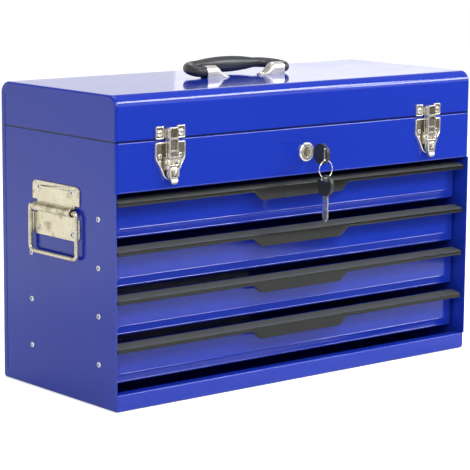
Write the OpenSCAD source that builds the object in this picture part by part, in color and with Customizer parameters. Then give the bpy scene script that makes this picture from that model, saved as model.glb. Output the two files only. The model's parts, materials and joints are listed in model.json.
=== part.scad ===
/* [Case] */
// Overall width of the case
case_w = 520; // [440:1:640]
// Overall depth of the case
case_d = 216; // [190:1:270]
// Height of the case up to the lid seam
body_h = 286.4; // [240:0.1:350]
// Thickness of the sheet steel
sheet = 1; // [0.8:0.1:1.2]
// Outside radius of the corner bends
bend_r = 3.5; // [3:0.1:4]
// Width of the hidden lap behind a joint
lap_w = 11; // [8:0.5:14]
// Width of the rear flange that laps round the side walls
side_lap = 9; // [7:0.5:14]
// Height at which that rear flange starts
side_lap_z = 12; // [8:0.5:20]
// Height of the bottom rail
rail_h = 19.1; // [14:0.1:24]
// Height of the front panel above the drawers
panel_h = 53.5; // [50:0.1:60]
// Depth of the folded edges of the front panel and rail
return_w = 12; // [8:0.5:16]

/* [Lid] */
// Height of the lid
lid_h = 48.6; // [40:0.1:64]
// Gap at the lid seam
seam = 0.4; // [0.3:0.1:1]
// Radius of the long bends along the lid
lid_r = 13; // [8:0.5:18]
// Height of the doubled edge of the lid
hem_h = 8; // [5:0.5:10]

/* [Drawers] */
// Depth from the front of the case to the drawer fronts
recess = 17; // [14:0.5:22]
// Gap between two drawers
drawer_gap = 8; // [5:0.5:10]
// Gap over the top drawer
top_gap = 6.6; // [2:0.1:8]
// Gap under the bottom drawer
low_gap = 7.2; // [6:0.1:12]
// Side clearance of the drawer fronts
front_side_gap = 0.4; // [0.3:0.1:1]
// Rise of the raised panel on a drawer front
press = 2.1; // [1:0.1:2.4]
// Width of the sloping border at the ends of a drawer front
border_x = 12.7; // [10:0.1:20]
// Width of the sloping border along the bottom of a drawer front
border_z = 9.8; // [6:0.1:12]
// Distance from the drawer box to the case wall, where the rails run
rail_room = 11; // [9:0.5:14]
// Distance along a rail between its two rivets
rivet_pitch_y = 125.3; // [80:0.1:130]
// Sliding clearance between the rails
slide_gap = 0.3; // [0.2:0.05:0.5]

/* [Trim] */
// Distance from the front of the case to the nose of a trim
trim_set = 2.6; // [1:0.1:6]
// Wall thickness of a trim
trim_t = 2.2; // [1.8:0.1:2.6]
// Drop of the trim from its rear edge to its nose
trim_slope = 2.6; // [2:0.1:9]
// Height of the lip at the nose
lip_h = 5.3; // [4:0.1:7]
// Extra height of the lip at the middle tab
tab_drop = 9.4; // [5:0.1:10]
// Width of the middle tab at its top
tab_top_w = 144; // [100:1:180]
// Width of the middle tab at its bottom
tab_low_w = 116; // [80:1:150]

/* [Latches] */
// Distance between the two latches
latch_pitch = 380; // [320:1:400]
// Width of a latch base
latch_w = 40.4; // [36:0.1:44]
// Thickness of the latch plates
latch_t = 1.2; // [1:0.1:1.4]
// Width of the claw
claw_w = 12; // [10:0.5:14]

/* [Lock] */
// Height of the lock axis below the lid seam
lock_drop = 28; // [24:0.5:32]
// Sideways place of the lock
lock_x = 1.7; // [-20:0.1:20]
// Radius of the lock bezel
bezel_r = 10.8; // [9:0.1:13]
// Radius of the lock body
lock_body_r = 9; // [8:0.1:10]
// Radius of the lock plug
plug_r = 5.8; // [5:0.1:6.5]
// Radius of the key ring's wire
ring_wire = 0.65; // [0.5:0.05:0.8]
// Radius of the key ring
ring_r = 9.6; // [8:0.1:11]

/* [Handles] */
// Distance between the outer ends of the top handle brackets
bracket_span = 114; // [100:1:130]
// Height of the top handle's axis over the lid
handle_axis = 7; // [7:0.1:9]
// Distance from the axis to the grip bar
handle_reach = 34; // [28:0.5:40]
// Radius of the grip at its bends
grip_r = 5.8; // [5.6:0.1:7]
// Bend radius of the grip beside the brackets
grip_end_bend = 8; // [7.5:0.5:12]
// Bend radius of the grip at the ends of its bar
grip_bar_bend = 24; // [12:0.5:26]
// Radius of the grip at its middle
grip_mid_r = 9.2; // [8:0.1:10]
// Radius of the grip's pivot stubs
stub_r = 5.4; // [4:0.1:5.6]
// Thickness of the handle brackets
bracket_t = 1.5; // [1:0.1:2]
// Width of a side plate
plate_w = 88; // [80:1:96]
// Height of a side plate
plate_h = 59; // [54:1:64]
// Height of the middle of a side plate
plate_z = 203.5; // [190:0.5:215]
// Thickness of a side plate
plate_t = 1.5; // [1.2:0.1:2]
// Diameter of the bail wire
bail_d = 6.3; // [5:0.1:7]
// Distance between the legs of the bail
bail_w = 87; // [84:1:92]
// Length of the bail below its axis
bail_drop = 49.5; // [42:0.5:56]

/* [Hidden] */
$fn = 48;
eps = 0.01;

half_w = case_w / 2;
half_d = case_d / 2;
front_y = -half_d;
rear_y = half_d;
// inboard end of the corner bends, where the flat panels start
flat_x = half_w - bend_r;
inner_bend_r = bend_r - sheet;
panel_z = body_h - panel_h;
// where the side walls step in behind the rear flange
joggle_y = rear_y - side_lap - 2 * sheet;
lid_z = body_h + seam;
lid_top = lid_z + lid_h;
lock_z = body_h - lock_drop;

// drawers, counted from the top
drawers = 4;
face_h = (panel_z - rail_h - low_gap - top_gap - (drawers - 1) * drawer_gap) / drawers;
drawer_pitch = face_h + drawer_gap;
face_y = front_y + recess;
face_x = flat_x - front_side_gap;
box_x = half_w - sheet - rail_room;
box_rear = rear_y - 13;
slide_h = face_h - 15;
slide_rise = slide_h / 2 + 6.4;
// the folds of a drawer front end level with the drawer's inner wall
front_fold = press + 2 * sheet;
front_bend_r = 1.8;
rail_front = face_y + 8.5;
rail_rear = joggle_y - 0.5;
rivet_front = front_y + 31.4;
// the tray floor rests on the fold of the front panel
tray_z = panel_z + sheet;

// bends of the front panel and the rail, and the rail rivets
return_bend = 2;
rail_shank_r = 1.6;

// piano hinge
knuckle_r = 2.6;
hinge_pin_r = 1.2;
hinge_gap = 0.3;
hinge_y = rear_y + hinge_gap + knuckle_r;
hinge_z = body_h + seam / 2;
hinge_len = case_w - 20;
knuckles = 20;
leaf_h = 20;

// latch axes, measured forward from the front of the case
latch_top = body_h - 2.4;
pivot_d = 4.5;
pivot_z = body_h - 23.4;
link_d = 6;
link_z = body_h - 31.4;
latch_pin_r = 1.5;
latch_bore_r = 1.55;
claw_front = link_d + latch_bore_r + 1.15;
lever_gap = 0.3;
lever_in = claw_w / 2 + lever_gap;
cheek_in = lever_in + latch_t + lever_gap;
claw_top = lid_z + 12.2;
latch_half = latch_w / 2;
base_low = link_z - 15;
latch_rivet_x = 14;
latch_rivet_z = body_h - 17.4;
latch_shank_r = 1.5;
strike_top = lid_z + 13.9;
strike_screw_z = lid_z + 6.4;
strike_in = claw_w / 2 + 3;
staple_z = [link_z - 11.5, link_z - 7.2];

// lock and its cam
lock_len = 20;
lock_nut_t = 4;
cam_len = 24;
cam_w = 10;
cam_t = 2;

// keys
key_t = 2;
key_head_t = 4.4;
key_head_r = 11.6;
key_shoulder = 14.6;
key_blade_len = 27;
key_hole_r = 2.2;
// half the distance between the round ends of the slot in a key head
key_slot = 5.4;
key_hole_in = 2 * key_head_r - 4.6;
// the wire hangs this far below the middle of the hole's round end
key_hang = key_hole_r - ring_wire - 0.3;
ring_top = lock_z - key_slot;
ring_y = front_y - key_shoulder - key_hole_in;
ring_z = ring_top - key_hang - ring_r;
spare_z = ring_z - ring_r - key_hang;

// handles
handle_z = lid_top + handle_axis;
handle_lift = asin((grip_mid_r + 1.8 - handle_axis) / handle_reach);
bail_clear = 0.35;
bail_x = half_w + plate_t + bail_clear + bail_d / 2;
bail_z = plate_z + 1.5;
bail_bore_r = bail_d / 2 + 0.08;
rivet_head_r = 3.2;
bracket_shank_r = 1.8;
bracket_rivet_x = bracket_span / 2 - 30;
plate_shank_r = 1.6;
plate_rivet_y = plate_w / 2 - 13;
plate_rivet_z = plate_h / 2 - 6.8;

function drawer_z(n) = rail_h + low_gap + (drawers - n) * drawer_pitch;

// ---- shared shapes ----

// an outline in Y and Z, drawn out along X
module along_x(len, centre = true) {
    rotate([90, 0, 90]) linear_extrude(height = len, center = centre) children();
}

// an outline in X and Z, drawn out along Y from y0 towards the rear
module along_y(y0, y1) {
    translate([0, y1, 0]) rotate([90, 0, 0]) linear_extrude(height = y1 - y0) children();
}

// a rectangle between two corners
module rect(x0, y0, x1, y1) {
    translate([x0, y0]) square([x1 - x0, y1 - y0]);
}

// a rectangle with round corners, centred
module round_rect(w, h, r) {
    square([w - 2 * r, h], center = true);
    square([w, h - 2 * r], center = true);
    for (i = [-1, 1], j = [-1, 1])
        translate([i * (w / 2 - r), j * (h / 2 - r)]) circle(r = r);
}

// a quarter ring round the origin, in the quadrant that qx and qy point to
module quarter_ring(r, t, qx, qy) {
    difference() {
        intersection() {
            circle(r = r);
            rect(min(0, qx * r), min(0, qy * r), max(0, qx * r), max(0, qy * r));
        }
        circle(r = r - t);
    }
}

module both_sides() {
    children();
    mirror([1, 0, 0]) children();
}

module box(x0, y0, z0, x1, y1, z1) {
    translate([x0, y0, z0]) cube([x1 - x0, y1 - y0, z1 - z0]);
}

// a pop rivet on a wall at x = 0, its head towards +X
module rivet(head_r, shank_r, shank, head_t = 1.1) {
    difference() {
        rotate([0, 90, 0]) {
            cylinder(r = head_r, h = head_t * 0.5);
            translate([0, 0, head_t * 0.5]) cylinder(r1 = head_r, r2 = head_r * 0.72, h = head_t * 0.5);
            translate([0, 0, -shank]) cylinder(r = shank_r, h = shank + eps);
        }
        translate([head_t * 0.5, 0, 0]) rotate([0, 90, 0]) cylinder(r = shank_r * 0.55, h = head_t);
    }
}

// ---- case ----

module case_wrap() {
    color([0.12, 0.2, 0.62]) difference() {
        both_sides() wrap_half();
        // holes for the rail rivets
        for (n = [1:drawers], y = rail_rivet_ys())
            translate([0, y, drawer_z(n) + slide_rise])
                rotate([0, 90, 0]) cylinder(r = rail_shank_r, h = case_w + 2, center = true);
    }
}

function rail_rivet_ys() = [rivet_front, rivet_front + rivet_pitch_y];
module wrap_half() {
    bottom_z = bend_r;
    // side wall, stepped in behind the rear flange
    box(half_w - sheet, front_y + bend_r, bottom_z, half_w, rear_y - side_lap - sheet, body_h);
    box(half_w - sheet, rear_y - side_lap - sheet - eps, bottom_z, half_w, rear_y - bend_r, side_lap_z);
    box(half_w - 2 * sheet, joggle_y, side_lap_z - sheet, half_w - sheet, rear_y - bend_r, body_h);
    // plain front edge beside the drawers
    box(half_w - sheet, front_y, rail_h, half_w, front_y + bend_r + eps, panel_z);
    // front corner bends at the panel and the rail, and their laps
    for (z = [[panel_z, body_h], [bottom_z, rail_h]]) translate([flat_x, front_y + bend_r, z[0]])
        linear_extrude(height = z[1] - z[0]) quarter_ring(bend_r, sheet, 1, -1);
    for (z = [[panel_z + return_bend, body_h - return_bend], [bottom_z, rail_h - return_bend]])
        box(flat_x - lap_w, front_y + sheet, z[0], flat_x + sheet, front_y + 2 * sheet, z[1]);
    // rear corner bend below the flange
    translate([flat_x, rear_y - bend_r, bottom_z])
        linear_extrude(height = side_lap_z - bottom_z) quarter_ring(bend_r, sheet, 1, 1);
    box(flat_x - lap_w, rear_y - 2 * sheet, bottom_z, flat_x + sheet, rear_y - sheet, side_lap_z);
    // bottom bend and the two corners below it
    translate([0, 0, bottom_z]) along_y(front_y + bend_r, rear_y - bend_r)
        translate([flat_x, 0]) quarter_ring(bend_r, sheet, 1, -1);
    for (s = [-1, 1]) translate([flat_x, s * (half_d - bend_r), bottom_z]) intersection() {
        difference() {
            sphere(r = bend_r);
            sphere(r = inner_bend_r);
        }
        box(0, min(0, s * bend_r), -bend_r, bend_r, max(0, s * bend_r), 0);
    }
    // floor, stepped up over the edges of the rail and the back panel
    box(0, front_y + bend_r, sheet, flat_x + sheet, front_y + return_w + 2 * sheet, 2 * sheet);
    box(0, rear_y - return_w - 2 * sheet, sheet, flat_x + sheet, rear_y - bend_r, 2 * sheet);
    box(0, front_y + return_w + sheet, 0, flat_x + eps, rear_y - return_w - sheet, sheet);
    // folded top edge
    fold_y = half_d - return_w - sheet;
    box(half_w - return_w, -fold_y, body_h - sheet, half_w - sheet + eps, fold_y, body_h);
}

module back_panel() {
    color([0.12, 0.2, 0.62]) {
        // flat wall with its folded lower edge
        along_x(2 * flat_x) {
            rect(rear_y - sheet, bend_r, rear_y, body_h);
            translate([rear_y - bend_r, bend_r]) quarter_ring(bend_r, sheet, 1, -1);
            rect(rear_y - return_w, 0, rear_y - bend_r, sheet);
            rect(rear_y - return_w, body_h - sheet, rear_y - sheet + eps, body_h);
        }
        both_sides() {
            translate([flat_x, rear_y - bend_r, side_lap_z])
                linear_extrude(height = body_h - side_lap_z) quarter_ring(bend_r, sheet, 1, 1);
            box(half_w - sheet, rear_y - side_lap, side_lap_z, half_w, rear_y - bend_r, body_h);
        }
    }
}

// a flat front with a fold at its bottom and its top, as a profile in Y and Z
module folded_front(z0, z1) {
    r = return_bend;
    rect(front_y, z0 + r, front_y + sheet, z1 - r);
    translate([front_y + r, z1 - r]) quarter_ring(r, sheet, -1, 1);
    rect(front_y + r, z1 - sheet, front_y + return_w, z1);
    translate([front_y + r, z0 + r]) quarter_ring(r, sheet, -1, -1);
    rect(front_y + r, z0, front_y + return_w, z0 + sheet);
}

module front_panel() {
    color([0.12, 0.2, 0.62]) difference() {
        along_x(2 * flat_x) folded_front(panel_z, body_h);
        translate([lock_x, front_y, lock_z]) rotate([90, 0, 0])
            cylinder(r = lock_body_r + 0.1, h = 4 * sheet, center = true);
    }
}

module bottom_rail() {
    r = return_bend;
    color([0.12, 0.2, 0.62]) along_x(2 * flat_x) {
        rect(front_y, bend_r, front_y + sheet, rail_h - r);
        translate([front_y + r, rail_h - r]) quarter_ring(r, sheet, -1, 1);
        rect(front_y + r, rail_h - sheet, front_y + return_w, rail_h);
        translate([front_y + bend_r, bend_r]) quarter_ring(bend_r, sheet, -1, -1);
        rect(front_y + bend_r, 0, front_y + return_w, sheet);
    }
}

module tray_floor() {
    edge_h = 8;
    x = half_w - sheet;
    y0 = front_y + 2 * sheet;
    y1 = rear_y - sheet;
    side_y = joggle_y - 0.5;
    color([0.12, 0.2, 0.62]) {
        box(-flat_x, y0, tray_z, flat_x, y1, tray_z + sheet);
        box(-x, front_y + bend_r, tray_z, x, side_y, tray_z + sheet);
        // edges turned up against the rear and side walls
        box(-flat_x, y1 - sheet, tray_z + sheet - eps, flat_x, y1, tray_z + edge_h);
        both_sides() box(x - sheet, y0 + return_w, tray_z + sheet - eps, x, side_y, tray_z + edge_h);
    }
}

// ---- lid ----

// the outline of the lid in Y and Z, set in by a distance, open towards the bottom
module lid_outline(inset) {
    r = lid_r - inset;
    rect(front_y + inset, lid_z - inset, rear_y - inset, lid_top - lid_r);
    rect(front_y + lid_r, lid_z - inset, rear_y - lid_r, lid_top - inset);
    for (s = [-1, 1]) translate([s * (half_d - lid_r), lid_top - lid_r]) circle(r = r);
}

module lid_ring(outer, inner, from_z) {
    difference() {
        lid_outline(outer);
        lid_outline(inner);
        rect(front_y - 1, lid_z - lid_r, rear_y + 1, from_z);
    }
}

module lid_shell() {
    color([0.12, 0.2, 0.62]) {
        along_x(2 * flat_x) {
            lid_ring(0, sheet, lid_z);
            for (s = [0, 1]) mirror([s, 0])
                rect(front_y + sheet - eps, lid_z, front_y + 2 * sheet, lid_z + hem_h);
        }
        // rear corners, lapped round onto the lid ends
        both_sides() {
            translate([flat_x, rear_y - bend_r, lid_z])
                linear_extrude(height = lid_h - lid_r) quarter_ring(bend_r, sheet, 1, 1);
            box(half_w - sheet, rear_y - side_lap, lid_z, half_w, rear_y - bend_r, lid_top - lid_r);
        }
    }
}

// a lid end: a flat plate with a rolled rim that turns in under the shell
module lid_end() {
    corner_z = lid_top - lid_r;
    step_y = rear_y - side_lap - sheet;
    color([0.12, 0.2, 0.62]) {
        // flat plate, stepped in behind the rear flange of the shell
        difference() {
            translate([half_w - sheet / 2, 0, 0]) along_x(sheet) difference() {
                lid_outline(bend_r);
                rect(-case_d, lid_z - lid_r, case_d, lid_z);
            }
            box(half_w - 2 * sheet, step_y, lid_z - 1, half_w + 1, rear_y, corner_z);
        }
        box(half_w - 2 * sheet, step_y - sheet, lid_z, half_w - sheet, rear_y - bend_r, corner_z);
        box(half_w - 2 * sheet, step_y - sheet, corner_z - eps, half_w - sheet, rear_y - bend_r, corner_z + sheet);
        // rolled rim: front, corners and top
        translate([flat_x, front_y + bend_r, lid_z])
            linear_extrude(height = lid_h - lid_r) quarter_ring(bend_r, sheet, 1, -1);
        along_y(front_y + lid_r, rear_y - lid_r)
            translate([flat_x, lid_top - bend_r]) quarter_ring(bend_r, sheet, 1, 1);
        for (s = [0, 1]) mirror([0, s, 0]) translate([flat_x, half_d - lid_r, corner_z])
            rotate([0, -90, 0]) rotate_extrude(angle = 90)
                translate([lid_r - bend_r, 0]) quarter_ring(bend_r, sheet, 1, -1);
        // the rim turned in under the shell
        difference() {
            translate([flat_x - lap_w, 0, 0]) along_x(lap_w + sheet, false)
                lid_ring(sheet, 2 * sheet, lid_z + hem_h + 1);
            box(flat_x, rear_y - bend_r, lid_z, half_w, rear_y, corner_z);
        }
        // doubled lower edge
        box(half_w - 2 * sheet, front_y + bend_r, lid_z, half_w - sheet + eps, step_y - 2 * sheet, lid_z + hem_h);
    }
}

// ---- hinge ----

function knuckle_x(n) = -hinge_len / 2 + n * hinge_len / knuckles;

// a hinge leaf on the rear wall with every second knuckle; dir points up or down
module hinge_leaf(first, dir) {
    clear = 0.2;
    len = hinge_len / knuckles;
    near = hinge_z + dir * (knuckle_r + 2 * hinge_gap);
    far = hinge_z + dir * (knuckle_r + leaf_h);
    color([0.6, 0.61, 0.63]) {
        box(-hinge_len / 2, rear_y, min(near, far), hinge_len / 2, rear_y + sheet, max(near, far));
        for (n = [first:2:knuckles - 1]) difference() {
            union() {
                translate([knuckle_x(n) + clear, hinge_y, hinge_z]) rotate([0, 90, 0])
                    cylinder(r = knuckle_r, h = len - 2 * clear);
                box(knuckle_x(n) + clear, rear_y + hinge_gap, min(near, hinge_z), knuckle_x(n) + len - clear,
                    rear_y + sheet, max(near, hinge_z));
                box(knuckle_x(n) + clear, rear_y, min(near, near - dir * hinge_gap), knuckle_x(n) + len - clear,
                    rear_y + sheet, max(near, near - dir * hinge_gap));
            }
            translate([knuckle_x(n), hinge_y, hinge_z]) rotate([0, 90, 0])
                cylinder(r = hinge_pin_r + 0.05, h = len);
        }
    }
}

module hinge_pin() {
    color([0.7, 0.7, 0.72]) translate([-hinge_len / 2, hinge_y, hinge_z]) rotate([0, 90, 0])
        cylinder(r = hinge_pin_r, h = hinge_len);
}

// ---- drawers ----

module case_rails(n) {
    z = drawer_z(n) + slide_rise;
    h = slide_h / 2;
    color([0.66, 0.67, 0.69]) difference() {
        both_sides() along_y(rail_front, rail_rear) {
            rect(half_w - 2 * sheet, z - h, half_w - sheet, z + h);
            for (s = [-1, 1]) rect(half_w - sheet - rail_room + 3, min(z + s * h, z + s * (h - sheet)),
                half_w - sheet, max(z + s * h, z + s * (h - sheet)));
        }
        for (y = rail_rivet_ys()) translate([0, y, z])
            rotate([0, 90, 0]) cylinder(r = rail_shank_r, h = case_w, center = true);
    }
}

module rail_rivets() {
    color([0.75, 0.75, 0.77]) both_sides() for (n = [1:drawers], y = rail_rivet_ys())
        translate([half_w, y, drawer_z(n) + slide_rise]) rivet(rivet_head_r, rail_shank_r, 2 * sheet);
}

module drawer_rails(n) {
    z = drawer_z(n) + slide_rise;
    h = slide_h / 2 - sheet - slide_gap;
    web_x = half_w - 4 * sheet;
    color([0.66, 0.67, 0.69]) both_sides() along_y(rail_front, box_rear) {
        rect(web_x - sheet, z - h, web_x, z + h);
        for (s = [-1, 1]) rect(box_x, min(z + s * h, z + s * (h - sheet)),
            web_x, max(z + s * h, z + s * (h - sheet)));
    }
}

module drawer_box(n) {
    z0 = drawer_z(n) + 2;
    z1 = drawer_z(n) + face_h - 7;
    y0 = face_y + press + sheet;
    color([0.12, 0.2, 0.62]) {
        difference() {
            box(-box_x, y0, z0, box_x, box_rear, z1);
            box(-box_x + sheet, y0 + sheet, z0 + sheet, box_x - sheet, box_rear - sheet, z1 + 1);
        }
        // the front wall ends under the fold of the drawer front
        box(-box_x, y0, z1 - eps, box_x, y0 + sheet, drawer_z(n) + face_h - sheet);
    }
}

// what a round corner cuts off the square corner at the origin
module corner_cut(r, inset) {
    difference() {
        rect(-1, -1, r, r);
        translate([r, r]) circle(r = r - inset);
    }
}

// the outline of a drawer front in Y and Z, set in by a distance, its lower border sloping back
module front_profile(z0, inset, back) {
    y = face_y + press;
    z1 = z0 + face_h - inset;
    difference() {
        polygon([[face_y + inset, z1], [back, z1], [back, z0 + inset], [y + inset, z0 + inset],
            [y + inset, z0 + front_bend_r], [face_y + inset, z0 + border_z]]);
        translate([y, z0]) corner_cut(front_bend_r, inset);
    }
}

// the same in X and Y, its end borders sloping back
module front_plan(inset, back) {
    x = face_x - inset;
    y = face_y + press;
    flat = face_x - border_x;
    difference() {
        polygon([[-x, back], [-x, y + inset], [-face_x + front_bend_r, y + inset], [-flat, face_y + inset],
            [flat, face_y + inset], [face_x - front_bend_r, y + inset], [x, y + inset], [x, back]]);
        for (s = [0, 1]) mirror([s, 0]) translate([-face_x, y]) corner_cut(front_bend_r, inset);
    }
}

module front_body(n, inset, back) {
    z0 = drawer_z(n);
    intersection() {
        along_x(2 * face_x) front_profile(z0, inset, back);
        translate([0, 0, z0 - 1]) linear_extrude(height = face_h + 2) front_plan(inset, back);
    }
}

// a drawer front with a raised panel, folded back all round
module drawer_front(n) {
    back = face_y + front_fold;
    color([0.12, 0.2, 0.62]) difference() {
        front_body(n, 0, back);
        front_body(n, sheet, back + 1);
    }
}

// the pull trim: a sloping top with a rounded nose, a lip and a rear wall
module trim_profile(z1) {
    nose_y = front_y + trim_set;
    nose_z = z1 - trim_slope;
    r = 1.2;
    back = face_y;
    difference() {
        union() {
            polygon([[back, z1], [back, nose_z - lip_h], [nose_y + r, nose_z - lip_h],
                [nose_y, nose_z - lip_h + r], [nose_y, nose_z - r], [nose_y + r, nose_z]]);
            translate([nose_y + r, nose_z - r]) circle(r = r);
            translate([nose_y + r, nose_z - lip_h + r]) circle(r = r);
        }
        polygon([[back - trim_t, z1 - 2 * trim_t], [back - trim_t, nose_z - lip_h - 1],
            [nose_y + trim_t, nose_z - lip_h - 1], [nose_y + trim_t, nose_z - trim_t]]);
    }
}

module drawer_trim(n) {
    z1 = drawer_z(n) + face_h;
    nose_y = front_y + trim_set;
    nose_z = z1 - trim_slope;
    cap = 2;
    color([0.05, 0.05, 0.055]) {
        along_x(2 * face_x) trim_profile(z1);
        // closed ends
        both_sides() translate([face_x - cap, 0, 0]) along_x(cap, false) {
            trim_profile(z1);
            polygon([[face_y, z1], [face_y, nose_z - lip_h], [nose_y + 1.2, nose_z - lip_h],
                [nose_y + 1.2, nose_z]]);
        }
        // middle tab of the lip
        translate([0, nose_y + trim_t, 0]) rotate([90, 0, 0]) linear_extrude(height = trim_t)
            polygon([[-tab_top_w / 2, nose_z - lip_h + 1.2], [-tab_low_w / 2, nose_z - lip_h - tab_drop],
                [tab_low_w / 2, nose_z - lip_h - tab_drop], [tab_top_w / 2, nose_z - lip_h + 1.2],
                [tab_top_w / 2, nose_z - 1.2], [-tab_top_w / 2, nose_z - 1.2]]);
    }
}

// ---- latches ----
// These are drawn in place for a latch in the middle of the case: X across, y set by fwd() from the front.

// a box given by how far it stands out from the front of the case
module fwd_box(x0, d0, z0, x1, d1, z1) {
    box(x0, front_y - d1, z0, x1, front_y - d0, z1);
}

// an outline in X and Z, standing out from d0 to d1
module fwd_plate(d0, d1) {
    translate([0, front_y - d0, 0]) rotate([90, 0, 0]) linear_extrude(height = d1 - d0) children();
}

// a round bar along X
module bar_x(x0, x1, d, z, r) {
    translate([x0, front_y - d, z]) rotate([0, 90, 0]) cylinder(r = r, h = x1 - x0);
}

module base_outline() {
    w = latch_half;
    r = 4;
    polygon([[-w, latch_top - 3], [-w + 3, latch_top], [w - 3, latch_top], [w, latch_top - 3],
        [w, body_h - 19], [13.5, link_z + 2], [10.6, link_z - 5], [7.4, base_low + r],
        [-7.4, base_low + r], [-10.6, link_z - 5], [-13.5, link_z + 2], [-w, body_h - 19]]);
    for (s = [-1, 1]) translate([s * (w - 3), latch_top - 3]) circle(r = 3);
    translate([-7.4 + r, base_low + r]) circle(r = r);
    translate([7.4 - r, base_low + r]) circle(r = r);
    rect(-7.4 + r, base_low, 7.4 - r, base_low + r);
}

module latch_base() {
    cheek_out = cheek_in + latch_t;
    color([0.72, 0.7, 0.66]) {
        difference() {
            fwd_plate(0, latch_t) base_outline();
            for (s = [-1, 1]) translate([s * latch_rivet_x, front_y + 1, latch_rivet_z])
                rotate([90, 0, 0]) cylinder(r = latch_shank_r, h = latch_t + 2);
        }
        // cheeks that carry the lever's pin
        both_sides() translate([cheek_in, 0, 0]) along_x(latch_t, false) {
            rect(front_y - pivot_d, pivot_z - 9, front_y - latch_t + eps, pivot_z + 4);
            translate([front_y - pivot_d, pivot_z]) circle(r = 4);
            translate([front_y - pivot_d, pivot_z - 5]) circle(r = 4);
            rect(front_y - pivot_d - 4, pivot_z - 5, front_y - pivot_d, pivot_z);
        }
        bar_x(-cheek_in - eps, cheek_in + eps, pivot_d, pivot_z, latch_pin_r);
        // padlock staple
        translate([-1.2, 0, 0]) along_x(2.4, false) difference() {
            union() {
                rect(front_y - 11, staple_z[0], front_y - latch_t + eps, staple_z[1]);
                translate([front_y - 11, (staple_z[0] + staple_z[1]) / 2])
                    circle(r = (staple_z[1] - staple_z[0]) / 2);
            }
            translate([front_y - 11, (staple_z[0] + staple_z[1]) / 2]) circle(r = 1.3);
        }
    }
}

module latch_lever() {
    w = lever_in + latch_t;
    face_d = claw_front - latch_t;
    tip_r = 5.2;
    tip_z = link_z - 16;
    face_top = link_z - 5;
    color([0.74, 0.72, 0.68]) difference() {
        union() {
            // side walls from the pivot to the face
            both_sides() translate([lever_in, 0, 0]) along_x(latch_t, false) {
                translate([front_y - pivot_d, pivot_z]) circle(r = 3);
                rect(front_y - claw_front, face_top - 3, front_y - pivot_d, pivot_z);
                rect(front_y - pivot_d, link_z - 7, front_y - pivot_d + 2, pivot_z);
            }
            // face with a round tip turned up for the finger
            fwd_plate(face_d, claw_front) {
                polygon([[-w, face_top], [-w, face_top - 3], [-tip_r, tip_z + tip_r],
                    [tip_r, tip_z + tip_r], [w, face_top - 3], [w, face_top]]);
                translate([0, tip_z + tip_r]) circle(r = tip_r);
            }
            // pins of the claw
            bar_x(-lever_in - eps, lever_in + eps, link_d, link_z, latch_pin_r);
        }
        // holes for the lever's own pin, and the slot for the staple
        bar_x(-w - 1, w + 1, pivot_d, pivot_z, latch_bore_r);
        fwd_box(-2.2, face_d - 1, staple_z[0] - 2.5, 2.2, claw_front + 1, face_top - 1.2);
    }
}

module latch_claw() {
    w = claw_w / 2;
    back_d = claw_front - latch_t;
    wall_d = 6.1;
    color([0.76, 0.74, 0.7]) {
        difference() {
            union() {
                fwd_plate(back_d, claw_front) {
                    rect(-w, link_z, w, claw_top - 2);
                    rect(-w + 2, claw_top - 3, w - 2, claw_top);
                    for (s = [-1, 1]) translate([s * (w - 2), claw_top - 2]) circle(r = 2);
                }
                // barrel round the link pin
                bar_x(-w, w, link_d, link_z, latch_bore_r + 1.15);
                // pressed rib across the seam
                bar_x(-w + 1, w - 1, claw_front - 0.4, lid_z - 1.4, 1);
            }
            bar_x(-w - 1, w + 1, link_d, link_z, latch_bore_r);
            fwd_box(-3.6, back_d - 1, lid_z - 15.8, 3.6, claw_front + 1, lid_z - 4);
        }
        // side walls, and the lip turned in over the strike
        both_sides() fwd_box(w - latch_t, wall_d, pivot_z + 6, w, back_d + eps, claw_top - 4);
        fwd_box(-w + 2, wall_d, claw_top - latch_t, w - 2, back_d + eps, claw_top);
    }
}

module strike() {
    color([0.74, 0.72, 0.68]) difference() {
        union() {
            both_sides() fwd_plate(0, latch_t) {
                rect(strike_in, lid_z, latch_half, strike_top - 2);
                rect(strike_in, strike_top - 3, latch_half - 2, strike_top);
                translate([latch_half - 2, strike_top - 2]) circle(r = 2);
            }
            // raised bridge and the bead that the claw pulls on
            both_sides() fwd_box(strike_in - latch_t, 0, lid_z + 1, strike_in + eps, 4.6, lid_z + 10);
            fwd_box(-strike_in + latch_t - eps, 4.6 - latch_t, lid_z + 1, strike_in - latch_t + eps, 4.6, lid_z + 9);
            bar_x(-strike_in + latch_t - eps, strike_in - latch_t + eps, 4.6 - latch_t / 2, lid_z + 9, 1.1);
        }
        for (s = [-1, 1]) translate([s * latch_rivet_x, front_y + 1, strike_screw_z])
            rotate([90, 0, 0]) cylinder(r = latch_shank_r, h = latch_t + 2);
    }
}

module at_latch(side) {
    translate([side * latch_pitch / 2, 0, 0]) children();
}

// domed screws through the strikes into the lid, with a cross slot
module strike_screws() {
    color([0.78, 0.76, 0.7]) for (side = [-1, 1], s = [-1, 1])
        at_latch(side) translate([s * latch_rivet_x, front_y - latch_t, strike_screw_z])
            rotate([0, 0, -90]) difference() {
                rotate([0, 90, 0]) {
                    cylinder(r = 3.6, h = 0.9);
                    translate([0, 0, 0.9]) cylinder(r1 = 3.6, r2 = 2.4, h = 0.8);
                    translate([0, 0, -latch_t]) cylinder(r = latch_shank_r, h = latch_t + eps);
                }
                box(1.0, -2.4, -0.4, 2, 2.4, 0.4);
                box(1.0, -0.4, -2.4, 2, 0.4, 2.4);
            }
}

// ---- lock ----

module lock_place() {
    translate([lock_x, front_y, lock_z]) rotate([90, 0, 0]) children();
}

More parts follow.
